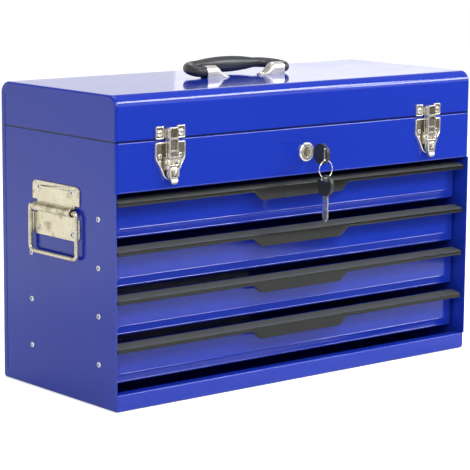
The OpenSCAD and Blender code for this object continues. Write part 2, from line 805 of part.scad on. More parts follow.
module lock_body() {
    color([0.78, 0.78, 0.8]) lock_place() difference() {
        union() {
            cylinder(r = bezel_r, h = 1.6);
            translate([0, 0, 1.6]) cylinder(r1 = bezel_r, r2 = bezel_r - 1.4, h = 1.2);
            translate([0, 0, -lock_len]) cylinder(r = lock_body_r, h = lock_len + eps);
        }
        translate([0, 0, -lock_len - 1]) cylinder(r = plug_r + 0.05, h = lock_len + 6);
    }
}

module lock_nut() {
    color([0.7, 0.7, 0.72]) lock_place() translate([0, 0, -sheet - lock_nut_t]) difference() {
        cylinder(r = lock_body_r + 3.6, h = lock_nut_t, $fn = 6);
        translate([0, 0, -1]) cylinder(r = lock_body_r + 0.02, h = lock_nut_t + 2);
    }
}

module lock_plug() {
    color([0.8, 0.79, 0.76]) lock_place() difference() {
        translate([0, 0, -lock_len - 1]) cylinder(r = plug_r, h = lock_len + 3);
        translate([-key_t / 2 - 0.05, -4.3, -lock_len + 3]) cube([key_t + 0.1, 8.6, lock_len]);
    }
}

// the cam hangs down when the lock is open
module lock_cam() {
    color([0.66, 0.66, 0.68]) lock_place() translate([0, 0, -lock_len - 1 - cam_t]) {
        cylinder(r = plug_r + 1, h = cam_t);
        translate([-cam_w / 2, 0, 0]) cube([cam_w, cam_len - cam_w / 2, cam_t]);
        translate([0, cam_len - cam_w / 2, 0]) cylinder(r = cam_w / 2, h = cam_t);
    }
}

// a hook hanging inside the lid: its foot reaches forward under the turned cam
module lock_catch() {
    t = 1.2;
    cam_y = front_y + lock_len + 1;
    x0 = lock_x + lock_body_r + 1.5;
    x1 = lock_x + cam_len - 1;
    plate_y = cam_y + cam_t + 2;
    foot_z = lock_z - cam_w / 2 - 1.2;
    shelf_z = lid_z + hem_h - 3;
    // behind the doubled edge of the lid
    y = front_y + 2 * sheet;
    color([0.66, 0.67, 0.69]) {
        box(x0, y, shelf_z, x1, y + t, lid_z + 14);
        box(x0, y, shelf_z, x1, plate_y + t, shelf_z + t);
        box(x0, plate_y, foot_z - t, x1, plate_y + t, shelf_z + t);
        box(x0, cam_y - 0.5, foot_z - t, x1, plate_y + t, foot_z);
    }
}

// a key blade in the plane X = 0, pointing along +Y from the head, as an outline in Y and Z
module blade_outline(len) {
    difference() {
        union() {
            rect(-2, -4, len - 2, 4);
            translate([len - 2, 0]) intersection() {
                rotate(45) square(5.6, center = true);
                rect(0, -4, 4, 4);
            }
        }
        for (i = [0:3]) translate([5 + i * 4, 4.6 - 0.35 * (i % 2)]) rotate(45) square(2.4, center = true);
    }
}

// the head as an outline in Y and Z with its shoulder at y = 0
module head_outline(grow = 0) {
    translate([-key_head_r, 0]) circle(r = key_head_r + grow);
    rect(-key_head_r, -5 - grow, grow, 5 + grow);
}

module key_head_body() {
    difference() {
        translate([-key_head_t / 2, 0, 0]) along_x(key_head_t, false) head_outline();
        translate([-key_t / 2, 0, 0]) along_x(key_t, false) head_outline(-2);
        key_hole(key_head_t + 2);
        box(-key_t / 2, -5, -4, key_t / 2, 1, 4);
    }
}

module key_metal() {
    difference() {
        translate([-key_t / 2, 0, 0]) along_x(key_t, false) {
            head_outline(-2);
            blade_outline(key_blade_len);
        }
        key_hole(key_head_t + 2);
    }
}

// a slot across the end of a key head
module key_hole(len) {
    translate([-len / 2, -key_hole_in, 0]) along_x(len, false) {
        rect(-key_hole_r, -key_slot, key_hole_r, key_slot);
        for (s = [-1, 1]) translate([0, s * key_slot]) circle(r = key_hole_r);
    }
}

module key_in_lock() {
    translate([lock_x, front_y - key_shoulder, lock_z]) children();
}

module key_ring() {
    color([0.8, 0.8, 0.82]) translate([lock_x, ring_y, ring_z]) rotate([90, 0, 0])
        rotate_extrude($fn = 64) translate([ring_r, 0]) circle(r = ring_wire, $fn = 20);
}

// the spare key hangs straight down from the ring
module spare_place() {
    translate([lock_x, ring_y, spare_z]) rotate([-90, 0, 0]) translate([0, key_hole_in, 0]) children();
}

// ---- handles ----

module handle_bracket() {
    r = stub_r + 0.08;
    out_r = r + bracket_t;
    x1 = bracket_span / 2;
    x0 = x1 - 17;
    foot = x1 - 35;
    color([0.8, 0.79, 0.76]) {
        // arch over the pivot stub
        difference() {
            union() {
                translate([x0, 0, handle_z]) rotate([0, 90, 0]) cylinder(r = out_r, h = x1 - x0);
                box(x0, -out_r, lid_top, x1, out_r, handle_z);
            }
            translate([x0 - 1, 0, handle_z]) rotate([0, 90, 0]) cylinder(r = r, h = x1 - x0 + 2);
            box(x0 - 1, -r, lid_top - 1, x1 + 1, r, handle_z);
        }
        // pressed slope down to the riveted foot
        difference() {
            hull() {
                translate([x0 - 0.5, 0, handle_z]) rotate([0, 90, 0]) cylinder(r = out_r, h = 0.5, $fn = 32);
                box(x0 - 0.5, -out_r, lid_top, x0, out_r, handle_z);
                box(x0 - 10, -out_r + 1, lid_top, x0 - 9, out_r - 1, lid_top + bracket_t);
            }
            hull() {
                translate([x0 - 0.5, 0, handle_z]) rotate([0, 90, 0]) cylinder(r = r, h = 1, $fn = 32);
                box(x0 - 0.5, -r, lid_top - 1, x0 + 0.5, r, handle_z);
                box(x0 - 10 + bracket_t, -r + 1, lid_top - 1, x0 - 9, r - 1, lid_top + 0.1);
            }
        }
        difference() {
            union() {
                box(foot + 6, -out_r + 1, lid_top, x0 - 9.5, out_r - 1, lid_top + bracket_t);
                translate([foot + 6, 0, lid_top]) cylinder(r = out_r - 1, h = bracket_t);
            }
            translate([foot + 5, 0, lid_top - 1]) cylinder(r = bracket_shank_r, h = 4);
        }
    }
}

module bracket_rivets() {
    color([0.78, 0.78, 0.8]) both_sides() translate([bracket_rivet_x, 0, lid_top + bracket_t])
        rotate([0, -90, 0]) rivet(2.9, bracket_shank_r, bracket_t);
}

// the grip, drawn flat with its axis along X, then laid back onto the lid
module handle_grip() {
    end_x = bracket_span / 2 + 1.3;
    turn_r = grip_end_bend;
    bar_turn = grip_bar_bend;
    out_x = end_x + turn_r;
    bar_x = out_x - bar_turn;
    // the bar ends just inside the bends
    sag = grip_mid_r - grip_r + 0.05;
    sag_r = (bar_x * bar_x + sag * sag) / (2 * sag);
    color([0.07, 0.07, 0.075]) translate([0, 0, handle_z]) rotate([handle_lift, 0, 0]) {
        both_sides() {
            translate([end_x - 17, 0, 0]) rotate([0, 90, 0]) cylinder(r = stub_r, h = 18);
            translate([end_x - 1, 0, 0]) rotate([0, 90, 0]) cylinder(r = grip_r, h = 1 + eps);
            translate([end_x, turn_r, 0]) rotate([0, 0, -90]) rotate_extrude(angle = 90)
                translate([turn_r, 0]) circle(r = grip_r);
            translate([out_x, turn_r - eps, 0]) rotate([-90, 0, 0])
                cylinder(r = grip_r, h = handle_reach - turn_r - bar_turn + 2 * eps);
            translate([bar_x, handle_reach - bar_turn, 0]) rotate_extrude(angle = 90)
                translate([bar_turn, 0]) circle(r = grip_r);
        }
        // bar, thicker towards its middle
        translate([0, handle_reach, 0]) rotate([0, 90, 0]) rotate_extrude() intersection() {
            translate([grip_mid_r - sag_r, 0]) circle(r = sag_r, $fn = 360);
            rect(0, -bar_x, grip_mid_r + 1, bar_x);
        }
    }
}

module side_plate() {
    notch_h = 2 * bail_bore_r + 8;
    out_r = bail_bore_r + plate_t;
    half_barrel = plate_w / 2 - 9;
    color([0.74, 0.7, 0.6]) difference() {
        union() {
            translate([half_w, 0, plate_z]) rotate([90, 0, 90]) linear_extrude(height = plate_t) difference() {
                round_rect(plate_w, plate_h, 6);
                // notches where the wire enters the barrel
                for (s = [-1, 1]) translate([s * plate_w / 2, bail_z - plate_z])
                    square([18, notch_h], center = true);
            }
            translate([bail_x, half_barrel, bail_z]) rotate([90, 0, 0]) cylinder(r = out_r, h = 2 * half_barrel);
            box(half_w, -half_barrel, bail_z - out_r, bail_x, half_barrel, bail_z + out_r);
        }
        translate([bail_x, half_barrel + 1, bail_z]) rotate([90, 0, 0])
            cylinder(r = bail_bore_r, h = 2 * half_barrel + 2);
        box(half_w - 1, -half_barrel - 1, bail_z - bail_bore_r, bail_x, half_barrel + 1, bail_z + bail_bore_r);
        for (y = [-1, 1] * plate_rivet_y, z = [-1, 1] * plate_rivet_z)
            translate([half_w - 1, y, plate_z + z]) rotate([0, 90, 0]) cylinder(r = plate_shank_r, h = plate_t + 2);
    }
}

// one kind of pop rivet holds the side plates and the latch bases
module plate_rivets() {
    color([0.72, 0.7, 0.66]) {
        both_sides() for (y = [-1, 1] * plate_rivet_y, z = [-1, 1] * plate_rivet_z)
            translate([half_w + plate_t, y, plate_z + z]) rivet(rivet_head_r, plate_shank_r, plate_t);
        for (side = [-1, 1], s = [-1, 1]) at_latch(side)
            translate([s * latch_rivet_x, front_y - latch_t, latch_rivet_z]) rotate([0, 0, -90])
                rivet(rivet_head_r, latch_shank_r, latch_t);
    }
}

// the wire bail, hanging from the barrel
module side_bail() {
    r = bail_d / 2;
    turn_r = 9;
    top_r = 5;
    leg = bail_w / 2;
    inner = plate_w / 2 - 30;
    color([0.78, 0.73, 0.6]) translate([bail_x, 0, bail_z]) for (s = [0, 1]) mirror([0, s, 0]) {
        // end in the barrel
        translate([0, leg - top_r + eps, 0]) rotate([90, 0, 0]) cylinder(r = r, h = leg - top_r - inner);
        translate([0, leg - top_r, -top_r]) rotate([0, -90, 0]) rotate_extrude(angle = 90)
            translate([top_r, 0]) circle(r = r);
        translate([0, leg, -bail_drop + turn_r - eps])
            cylinder(r = r, h = bail_drop - turn_r - top_r + 2 * eps);
        translate([0, leg - turn_r, -bail_drop + turn_r]) rotate([0, 90, 0]) rotate_extrude(angle = 90)
            translate([turn_r, 0]) circle(r = r);
        translate([0, leg - turn_r + eps, -bail_drop]) rotate([90, 0, 0]) cylinder(r = r, h = leg - turn_r + 2 * eps);
    }
}

// ---- placed parts ----

module mirrored(side) {
    if (side < 0) mirror([1, 0, 0]) children();
    else children();
}

case_wrap();
back_panel();
front_panel();
bottom_rail();
tray_floor();
hinge_leaf(0, -1);  // case_hinge_leaf
hinge_pin();
for (n = [1:drawers]) {
    case_rails(n);
    drawer_box(n);
    drawer_front(n);
    drawer_trim(n);
    drawer_rails(n);
}
rail_rivets();
mirrored(-1) side_plate();  // side_plate_left
mirrored(1) side_plate();  // side_plate_right
plate_rivets();
at_latch(-1) latch_base();  // latch_base_left
at_latch(1) latch_base();  // latch_base_right
lock_body();
lock_nut();
lid_shell();
mirrored(-1) lid_end();  // lid_end_left
mirrored(1) lid_end();  // lid_end_right
hinge_leaf(1, 1);  // lid_hinge_leaf
lock_catch();
at_latch(-1) strike();  // strike_left
at_latch(1) strike();  // strike_right
strike_screws();
mirrored(-1) handle_bracket();  // handle_bracket_left
mirrored(1) handle_bracket();  // handle_bracket_right
bracket_rivets();
handle_grip();
at_latch(-1) latch_lever();  // latch_lever_left
at_latch(1) latch_lever();  // latch_lever_right
at_latch(-1) latch_claw();  // latch_claw_left
at_latch(1) latch_claw();  // latch_claw_right
lock_plug();
lock_cam();
color([0.75, 0.74, 0.7]) key_in_lock() key_metal();  // key_blade
color([0.06, 0.06, 0.06]) key_in_lock() key_head_body();  // key_head
key_ring();
color([0.75, 0.74, 0.7]) spare_place() key_metal();  // spare_key_blade
color([0.06, 0.06, 0.06]) spare_place() key_head_body();  // spare_key_head
mirrored(-1) side_bail();  // side_bail_left
mirrored(1) side_bail();  // side_bail_right
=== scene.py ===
"""The visual model of a portable tool box with four drawers, in the frame of its CAD model."""
import math
import json

import bmesh
import bpy
from mathutils import Matrix, Vector


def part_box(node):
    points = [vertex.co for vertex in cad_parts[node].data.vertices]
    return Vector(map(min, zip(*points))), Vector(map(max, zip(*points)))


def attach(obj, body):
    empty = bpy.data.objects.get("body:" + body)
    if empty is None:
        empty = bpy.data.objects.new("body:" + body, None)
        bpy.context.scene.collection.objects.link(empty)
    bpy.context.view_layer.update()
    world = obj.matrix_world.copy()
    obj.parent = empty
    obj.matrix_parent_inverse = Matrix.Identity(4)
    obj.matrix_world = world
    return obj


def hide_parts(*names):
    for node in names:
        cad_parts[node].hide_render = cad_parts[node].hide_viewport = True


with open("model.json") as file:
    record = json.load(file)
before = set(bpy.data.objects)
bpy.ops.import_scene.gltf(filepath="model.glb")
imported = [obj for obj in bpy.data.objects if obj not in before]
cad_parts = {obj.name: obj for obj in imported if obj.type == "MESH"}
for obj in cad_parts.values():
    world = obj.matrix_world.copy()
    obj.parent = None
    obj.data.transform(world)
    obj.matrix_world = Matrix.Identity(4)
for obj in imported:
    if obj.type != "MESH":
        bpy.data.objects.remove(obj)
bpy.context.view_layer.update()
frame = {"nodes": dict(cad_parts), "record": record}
NODES = frame["nodes"]
SIDES = (("left", -1), ("right", 1))


# ---------------------------------------------------------------- materials
class Graph:
    """A material's node tree with short calls."""

    def __init__(self, name):
        self.mat = bpy.data.materials.new(name)
        self.mat.use_nodes = True
        self.t = self.mat.node_tree
        self.b = self.t.nodes["Principled BSDF"]
        self.coord = None

    def add(self, kind, **values):
        n = self.t.nodes.new(kind)
        for k, v in values.items():
            if isinstance(k, str) and hasattr(n, k):
                setattr(n, k, v)
            else:
                n.inputs[k.replace("_", " ")].default_value = v
        return n

    def link(self, a, b):
        self.t.links.new(a, b)

    def place(self):
        if self.coord is None:
            self.coord = self.t.nodes.new("ShaderNodeTexCoord")
        return self.coord.outputs["Object"]

    def noise(self, scale, detail=3.0, rough=0.5, stretch=None):
        src = self.place()
        if stretch:
            m = self.add("ShaderNodeMapping")
            m.inputs["Scale"].default_value = stretch
            self.link(src, m.inputs["Vector"])
            src = m.outputs["Vector"]
        n = self.add("ShaderNodeTexNoise")
        n.inputs["Scale"].default_value = scale
        n.inputs["Detail"].default_value = detail
        n.inputs["Roughness"].default_value = rough
        self.link(src, n.inputs["Vector"])
        return n.outputs["Fac"]

    def span(self, src, lo, hi, a=0.3, b=0.7):
        m = self.add("ShaderNodeMapRange")
        m.inputs["From Min"].default_value = a
        m.inputs["From Max"].default_value = b
        m.inputs["To Min"].default_value = lo
        m.inputs["To Max"].default_value = hi
        self.link(src, m.inputs["Value"])
        return m.outputs["Result"]

    def blend(self, fac, a, b):
        m = self.add("ShaderNodeMix", data_type="RGBA")
        for i, c in ((6, a), (7, b)):
            if isinstance(c, tuple):
                m.inputs[i].default_value = (*c, 1)
            else:
                self.link(c, m.inputs[i])
        self.link(fac, m.inputs[0])
        return m.outputs[2]

    def bump(self, height, strength, distance, prior=None):
        n = self.add("ShaderNodeBump")
        n.inputs["Strength"].default_value = strength
        n.inputs["Distance"].default_value = distance
        self.link(height, n.inputs["Height"])
        if prior is not None:
            self.link(prior, n.inputs["Normal"])
        return n.outputs["Normal"]

    def set(self, **values):
        for k, v in values.items():
            sock = self.b.inputs[k.replace("_", " ")]
            if hasattr(v, "is_output"):
                self.link(v, sock)
            elif isinstance(v, tuple):
                sock.default_value = (*v, 1)
            else:
                sock.default_value = v


def paint(name, base, dark, rough=0.07, joint=None):
    """Gloss enamel. joint is the height in metres of an edge just above which a painted shadow darkens the
    paint.
    """
    g = Graph(name)
    tone = g.span(g.noise(3.1, 2), 0, 1)
    colour = g.blend(tone, dark, base)
    if joint:
        axes = g.add("ShaderNodeSeparateXYZ")
        g.link(g.place(), axes.inputs[0])
        # painted shade: a near-black band just above the lid's lower edge stands in for the shadow in the
        # seam's gap
        seam_shade = g.span(axes.outputs["Z"], 1, 0, joint + 0.0011, joint + 0.0015)
        colour = g.blend(seam_shade, colour, (0.002, 0.006, 0.06))
    g.set(Base_Color=colour, Specular_IOR_Level=0.5,
          Roughness=g.span(g.noise(28, 4), rough - 0.02, rough + 0.03))
    peel = g.bump(g.noise(95, 2), 0.08, 0.0004)
    g.set(Normal=g.bump(g.noise(7, 1), 0.10, 0.003, peel))
    return g.mat


def satin(name, base, dark, rough, grain=420, depth=0.1, top_light_and_dust=None, shine=0.5):
    """Satin plastic. top_light_and_dust is the paler colour that upward faces take: a painted top light, and
    dust as well.
    """
    g = Graph(name)
    tone = g.span(g.noise(22, 3), 0, 1)
    colour = g.blend(tone, dark, base)
    if top_light_and_dust:
        # painted light: upward faces are made paler, as if lit from above, with some dust as well
        axes = g.add("ShaderNodeSeparateXYZ")
        g.place()
        g.link(g.coord.outputs["Normal"], axes.inputs[0])
        colour = g.blend(g.span(axes.outputs["Z"], 0, 1, 0.7, 0.97), colour, top_light_and_dust)
    g.set(Base_Color=colour, Specular_IOR_Level=shine,
          Roughness=g.span(g.noise(70, 4), rough - 0.06, rough + 0.06),
          Normal=g.bump(g.noise(grain, 3), depth, 0.0003))
    return g.mat


def metal(name, base, dark, rough, stretch=None, grain=260, depth=0.08, metallic=1.0, patch=34,
          tarnish_and_shade=None, stain=None):
    """Plated metal. tarnish_and_shade is a pair of colours for hollows, for tarnish and for painted shade;
    stain a colour for scattered blotches.
    """
    g = Graph(name)
    tone = g.span(g.noise(patch, 4, 0.6, stretch), 0, 1)
    colour = g.blend(tone, dark, base)
    if stain:
        colour = g.blend(g.span(g.noise(62, 2.5, 0.55), 0, 0.75, 0.56, 0.68), colour, stain)
    if tarnish_and_shade:
        # the hollow attribute darkens hollows: tarnish, and painted shade in recesses, slots and holes
        hollow = g.add("ShaderNodeAttribute", attribute_name="hollow")
        colour = g.blend(hollow.outputs["Fac"], colour, g.blend(tone, *tarnish_and_shade))
    g.set(Metallic=metallic, Base_Color=colour,
          Roughness=g.span(g.noise(grain, 4, 0.6, stretch), rough - 0.07, rough + 0.09),
          Normal=g.bump(g.noise(grain, 3, 0.6, stretch), depth, 0.0003))
    return g.mat


BLUE, BLUE_DARK = (0.011, 0.038, 0.43), (0.009, 0.032, 0.40)
LID_SEAM_Z = 0.2868     # the lid's lower edge, in metres

MATS = {
    "blue_paint": paint("blue_paint", BLUE, BLUE_DARK),
    # black_trim's upward faces are painted paler: a painted top light, with dust
    "black_trim": satin("black_trim", (0.016, 0.017, 0.016), (0.012, 0.013, 0.012), 0.2,
                        top_light_and_dust=(0.095, 0.098, 0.082), shine=0.35),
    "zinc_steel": metal("zinc_steel", (0.62, 0.63, 0.65), (0.52, 0.53, 0.56), 0.32),
    # rivet_alloy's hollow colours are near black: painted shade in the rivets' pin holes
    "rivet_alloy": metal("rivet_alloy", (0.93, 0.93, 0.92), (0.82, 0.82, 0.80), 0.30, metallic=0.7,
                         tarnish_and_shade=((0.010, 0.011, 0.02), (0.03, 0.03, 0.04))),
    "nickel": metal("nickel", (0.95, 0.93, 0.88), (0.84, 0.80, 0.70), 0.20, metallic=0.85, patch=120,
                    tarnish_and_shade=((0.16, 0.13, 0.07), (0.36, 0.30, 0.19))),
    "yellow_zinc": metal("yellow_zinc", (0.80, 0.75, 0.58), (0.68, 0.62, 0.45), 0.28, metallic=0.85,
                         stain=(0.36, 0.29, 0.14)),
    "grip_black": satin("grip_black", (0.040, 0.043, 0.046), (0.028, 0.030, 0.033), 0.36, 300, 0.15),
    "key_black": satin("key_black", (0.034, 0.036, 0.038), (0.024, 0.026, 0.028), 0.45, 300, 0.1),
}


# ---------------------------------------------------------------- CAD nodes
# bevel widths in metres. The back panel's is narrow: at 0.4 mm its foot dipped 0.02 mm below the floor
EDGE = {"blue_paint": 0.0004, "black_trim": 0.0007, "zinc_steel": 0.0003, "rivet_alloy": 0.0003,
        "nickel": 0.00035, "yellow_zinc": 0.0005, "grip_black": 0.0006, "key_black": 0.0005}
BACK_PANEL_EDGE = 0.0002


def soften(obj, width, segments=2):
    """Rounds a CAD mesh's sharp edges with modifiers, which leave the mesh itself as it is."""
    weld = obj.modifiers.new("weld", "WELD")
    weld.merge_threshold = 0.00001
    bevel = obj.modifiers.new("bevel", "BEVEL")
    bevel.width = width
    bevel.segments = segments
    bevel.limit_method = "ANGLE"
    bevel.angle_limit = math.radians(38)
    bevel.harden_normals = False
    bevel.use_clamp_overlap = True
    obj.modifiers.new("normals", "WEIGHTED_NORMAL").keep_sharp = False


def finish_node(obj, slot):
    obj.data.materials.clear()
    obj.data.materials.append(MATS[slot])
    soften(obj, BACK_PANEL_EDGE if obj is NODES["back_panel"] else EDGE[slot])


SLOT_OF = {row["node"]: row["material_slot"] for row in frame["record"]["subparts"]}
for name, obj in NODES.items():
    finish_node(obj, SLOT_OF[name])
# the lid's paint carries the painted seam shadow along its lower edge
LID_PAINT = paint("blue_paint_lid", BLUE, BLUE_DARK, joint=LID_SEAM_Z)
for name in ("lid_shell", "lid_end_left", "lid_end_right"):
    NODES[name].data.materials[0] = LID_PAINT
PLUG_NICKEL = metal("plug_nickel", (0.55, 0.52, 0.42), (0.16, 0.14, 0.08), 0.25, patch=420)
NODES["lock_plug"].data.materials[0] = PLUG_NICKEL


# ---------------------------------------------------------------- new pieces
STREAKED = metal("streaked_nickel", (0.90, 0.89, 0.86), (0.55, 0.51, 0.45), 0.34, stretch=(1.0, 6.0, 6.0),
                 metallic=0.75, patch=60)


def piece(name, mesh, body, slot, *nodes, finish=None):
    """Makes an object that rides on a body and takes the place of CAD nodes."""
    obj = bpy.data.objects.new(name, mesh)
    bpy.context.scene.collection.objects.link(obj)
    mesh.materials.append(finish or MATS[slot])
    mesh.polygons.foreach_set("use_smooth", [True] * len(mesh.polygons))
    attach(obj, body)
    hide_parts(*nodes)
    return obj


def step(t, a, b):
    """0 below a, 1 above b, smooth between."""
    u = min(1.0, max(0.0, (t - a) / (b - a)))
    return u * u * (3 - 2 * u)


MM = 0.001
SHEET = 1.0 * MM
# places on the CAD model, in millimetres
FRONT_Y = -108.0
SIDE_X = 260.0
LID_TOP = 335.4
LATCH_X = 190.0
LATCH_RIVET = (13.6, 269.0)
RAIL_RIVET_YS, RAIL_RIVET_RISE = (-76.6, 48.7), 20.9
PLATE_X, PLATE_Z, PLATE_RIVET = 261.5, 203.5, (31.0, 22.7)
BAIL_X, BAIL_Z = 265.0, 205.0


class Form:
    """Collects faces in millimetres, then makes one mesh in metres. hollow, 0 to 1, darkens a vertex with
    tarnish and painted shade.
    """

    def __init__(self, origin=(0.0, 0.0, 0.0)):
        self.v, self.f, self.o, self.hollow = [], [], origin, []

    def add(self, verts, faces, hollow=None):
        base = len(self.v)
        self.hollow += hollow or [0.0] * len(verts)
        self.v += [tuple((a + b) * MM for a, b in zip(v, self.o)) for v in verts]
        self.f += [tuple(base + i for i in face) for face in faces]

    def rings(self, rings, closed=True, caps=(True, True), hollow=None):
        """Skins a list of rings of equal length. A cap fills the first or last ring."""
        n = len(rings[0])
        verts = [p for ring in rings for p in ring]
        last = n if closed else n - 1
        faces = [(i * n + j, i * n + (j + 1) % n, (i + 1) * n + (j + 1) % n, (i + 1) * n + j)
                 for i in range(len(rings) - 1) for j in range(last)]
        if caps[0]:
            faces.append(tuple(reversed(range(n))))
        if caps[1]:
            faces.append(tuple(range((len(rings) - 1) * n, len(rings) * n)))
        self.add(verts, faces, hollow)

    def box(self, lo, hi):
        (a, b, c), (d, e, f) = lo, hi
        v = [(a, b, c), (d, b, c), (d, e, c), (a, e, c), (a, b, f), (d, b, f), (d, e, f), (a, e, f)]
        self.add(v, [(0, 3, 2, 1), (4, 5, 6, 7), (0, 1, 5, 4), (1, 2, 6, 5), (2, 3, 7, 6), (3, 0, 4, 7)])

    def prism(self, outline, place, low, high):
        """outline is 2D points; place(u, v, w) gives the 3D point; low and high are the two w values."""
        self.rings([[place(u, v, w) for u, v in outline] for w in (low, high)])

    def tube(self, path, radius, n=20, caps=(True, True)):
        """A round tube along points; radius is a number or a function of the point's index."""
        rings, up = [], Vector((0.0, 0.0, 1.0))
        pts = [Vector(p) for p in path]
        side = None
        for i, p in enumerate(pts):
            t = (pts[min(i + 1, len(pts) - 1)] - pts[max(i - 1, 0)]).normalized()
            if side is None:
                side = t.cross(up if abs(t.dot(up)) < 0.9 else Vector((1.0, 0.0, 0.0))).normalized()
            side = (side - t * side.dot(t)).normalized()
            other = t.cross(side)
            r = radius(i) if callable(radius) else radius
            rings.append([tuple(p + side * r * math.cos(a) + other * r * math.sin(a))
                          for a in (2 * math.pi * k / n for k in range(n))])
        self.rings(rings, caps=caps)

    def mesh(self, name, sharp=40, outward=True):
        mesh = bpy.data.meshes.new(name)
        mesh.from_pydata(self.v, [], self.f)
        if outward:
            b = bmesh.new()
            b.from_mesh(mesh)
            bmesh.ops.recalc_face_normals(b, faces=b.faces)
            b.to_mesh(mesh)
            b.free()
        mesh.set_sharp_from_angle(angle=math.radians(sharp))
        if any(self.hollow):
            mesh.attributes.new("hollow", "FLOAT", "POINT").data.foreach_set("value", self.hollow)
        return mesh


def curve_through(points, t):
    """Linear table look-up: points are (t, value) with t rising."""
    if t <= points[0][0]:
        return points[0][1]
    for (a, va), (b, vb) in zip(points, points[1:]):
        if t <= b:
            return va + (vb - va) * (t - a) / (b - a)
    return points[-1][1]


def by_height(points):
    """A function of z, or of x and z, that looks z up in a table."""
    return lambda *at: curve_through(points, at[-1])


def flush(x, z):
    """The depth of a plate that lies on the front."""
    return 0.0


def across(y, z, x):
    """Places an outline of y and z at x, for Form.prism."""
    return x, y, z


def pressed_plate(form, rows, half, height, back, cols=41, shade=None):
    """A pressed plate in front of the case: d is how far a point stands out from the front.
    half(z) is half its width, height(x, z, edge) its face, back(x, z) where its edges end,
    and shade(x, z, edge) how much tarnish and painted shade it takes."""
    us = [math.sin(math.pi / 2 * (2 * i / (cols - 1) - 1)) * 0.35 + 0.65 * (2 * i / (cols - 1) - 1)
          for i in range(cols)]
    grid, tone = [], []
    for z in rows:
        w = half(z)
        line = []
        for u in us:
            x = u * w
            edge = min(w - abs(x), z - rows[0], rows[-1] - z)
            line.append((x, FRONT_Y - height(x, z, edge), z))
            tone.append(shade(x, z, edge) if shade else 0.0)
        grid.append(line)
    n = len(us)
    verts = [p for line in grid for p in line]
    faces = [(i * n + j, (i + 1) * n + j, (i + 1) * n + j + 1, i * n + j + 1)
             for i in range(len(rows) - 1) for j in range(n - 1)]
    loop = [(0, j) for j in range(n)] + [(i, n - 1) for i in range(1, len(rows))] \
        + [(len(rows) - 1, j) for j in range(n - 2, -1, -1)] + [(i, 0) for i in range(len(rows) - 2, 0, -1)]
    base = len(verts)
    for i, j in loop:
        x, _, z = grid[i][j]
        verts.append((x, FRONT_Y - back(x, z), z))
        # the back edges take 0.7, so the side walls darken towards the back: painted shade
        tone.append(0.7 if shade else 0.0)
    m = len(loop)
    for k in range(m):
        (i, j), (p, q) = loop[k], loop[(k + 1) % m]
        faces.append((i * n + j, p * n + q, base + (k + 1) % m, base + k))
    faces.append(tuple(base + k for k in range(m)))
    form.add(verts, faces, tone)


def rows_between(lo, hi, pitch):
    n = max(1, int(round((hi - lo) / pitch)))
    return [lo + (hi - lo) * i / n for i in range(n + 1)]


def drawer_front(n):
    """A pressed front: a raised panel, borders that slope back, and beads on its lower crease and foot."""
    lo, hi = (v * 1000 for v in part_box(f"drawer_front_{n}"))
    fx, z0, y0, back = hi.x, lo.z, lo.y, hi.y
    r, rise, side, foot, crest = 0.75, 3.3, 12.7, 9.8, 0.42

    def border(edge, wide):
        if edge < r:
            return rise + r - math.sqrt(r * r - (r - edge) ** 2)
        t = (wide - edge) / (wide - r)
        t = 0.5 * (t + math.sqrt(t * t + 0.002))
        return crest + (rise - crest) * t * (1.25 - 0.25 * t)

    def bead(h, at, half, tall):
        return tall * 0.5 * (1 + math.cos(math.pi * min(1.0, abs(h - at) / half)))

    def depth(x, h):
        edge = fx - abs(x)
        beads = bead(h, foot + 0.3, 1.0, crest) * step(edge, side - 1.2, side + 0.8) \
            + bead(h, 1.5, 0.9, 0.55) * step(edge, 1.5, 4.0)
        return max(border(edge, side), border(h, foot)) - beads

    edges = [0, 0.05, 0.2, 0.45, 0.8, 1.3, 1.8, 2.6, 4, 6, 8, 10, 11, 11.5, 12, 12.4, 12.8, 13.2, 13.6, 14.2,
             16, 20]
    xs = sorted({round(s * (fx - e), 4) for s in (-1, 1) for e in edges} | {12.0 * i for i in range(-19, 20)})
    hs = [0, 0.05, 0.2, 0.45] + rows_between(0.6, 2.7, 0.1) + [3.4, 4.5, 6, 7.5, 8.6] \
        + rows_between(9.1, 11.2, 0.1) + rows_between(12.5, hi.z - z0, 4)
    rows = [[(x, back, z0) for x in [-fx] + xs + [fx]]]
    for h in hs:
        face = [(x, y0 + depth(x, h), z0 + h) for x in xs]
        rows.append([(-fx, back, z0 + h)] + face + [(fx, back, z0 + h)])
    rows.append([(x, back, hi.z) for x in [-fx] + xs + [fx]])
    form = Form()
    form.rings(rows, closed=False, caps=(False, False))
    mesh = form.mesh(f"drawer_front_{n}_pressed", 50, outward=False)
    obj = piece(f"drawer_front_{n}_pressed", mesh, f"drawer_{n}", "blue_paint", f"drawer_front_{n}")
    thick = obj.modifiers.new("sheet", "SOLIDIFY")
    thick.thickness = SHEET * 0.9
    thick.offset = -1


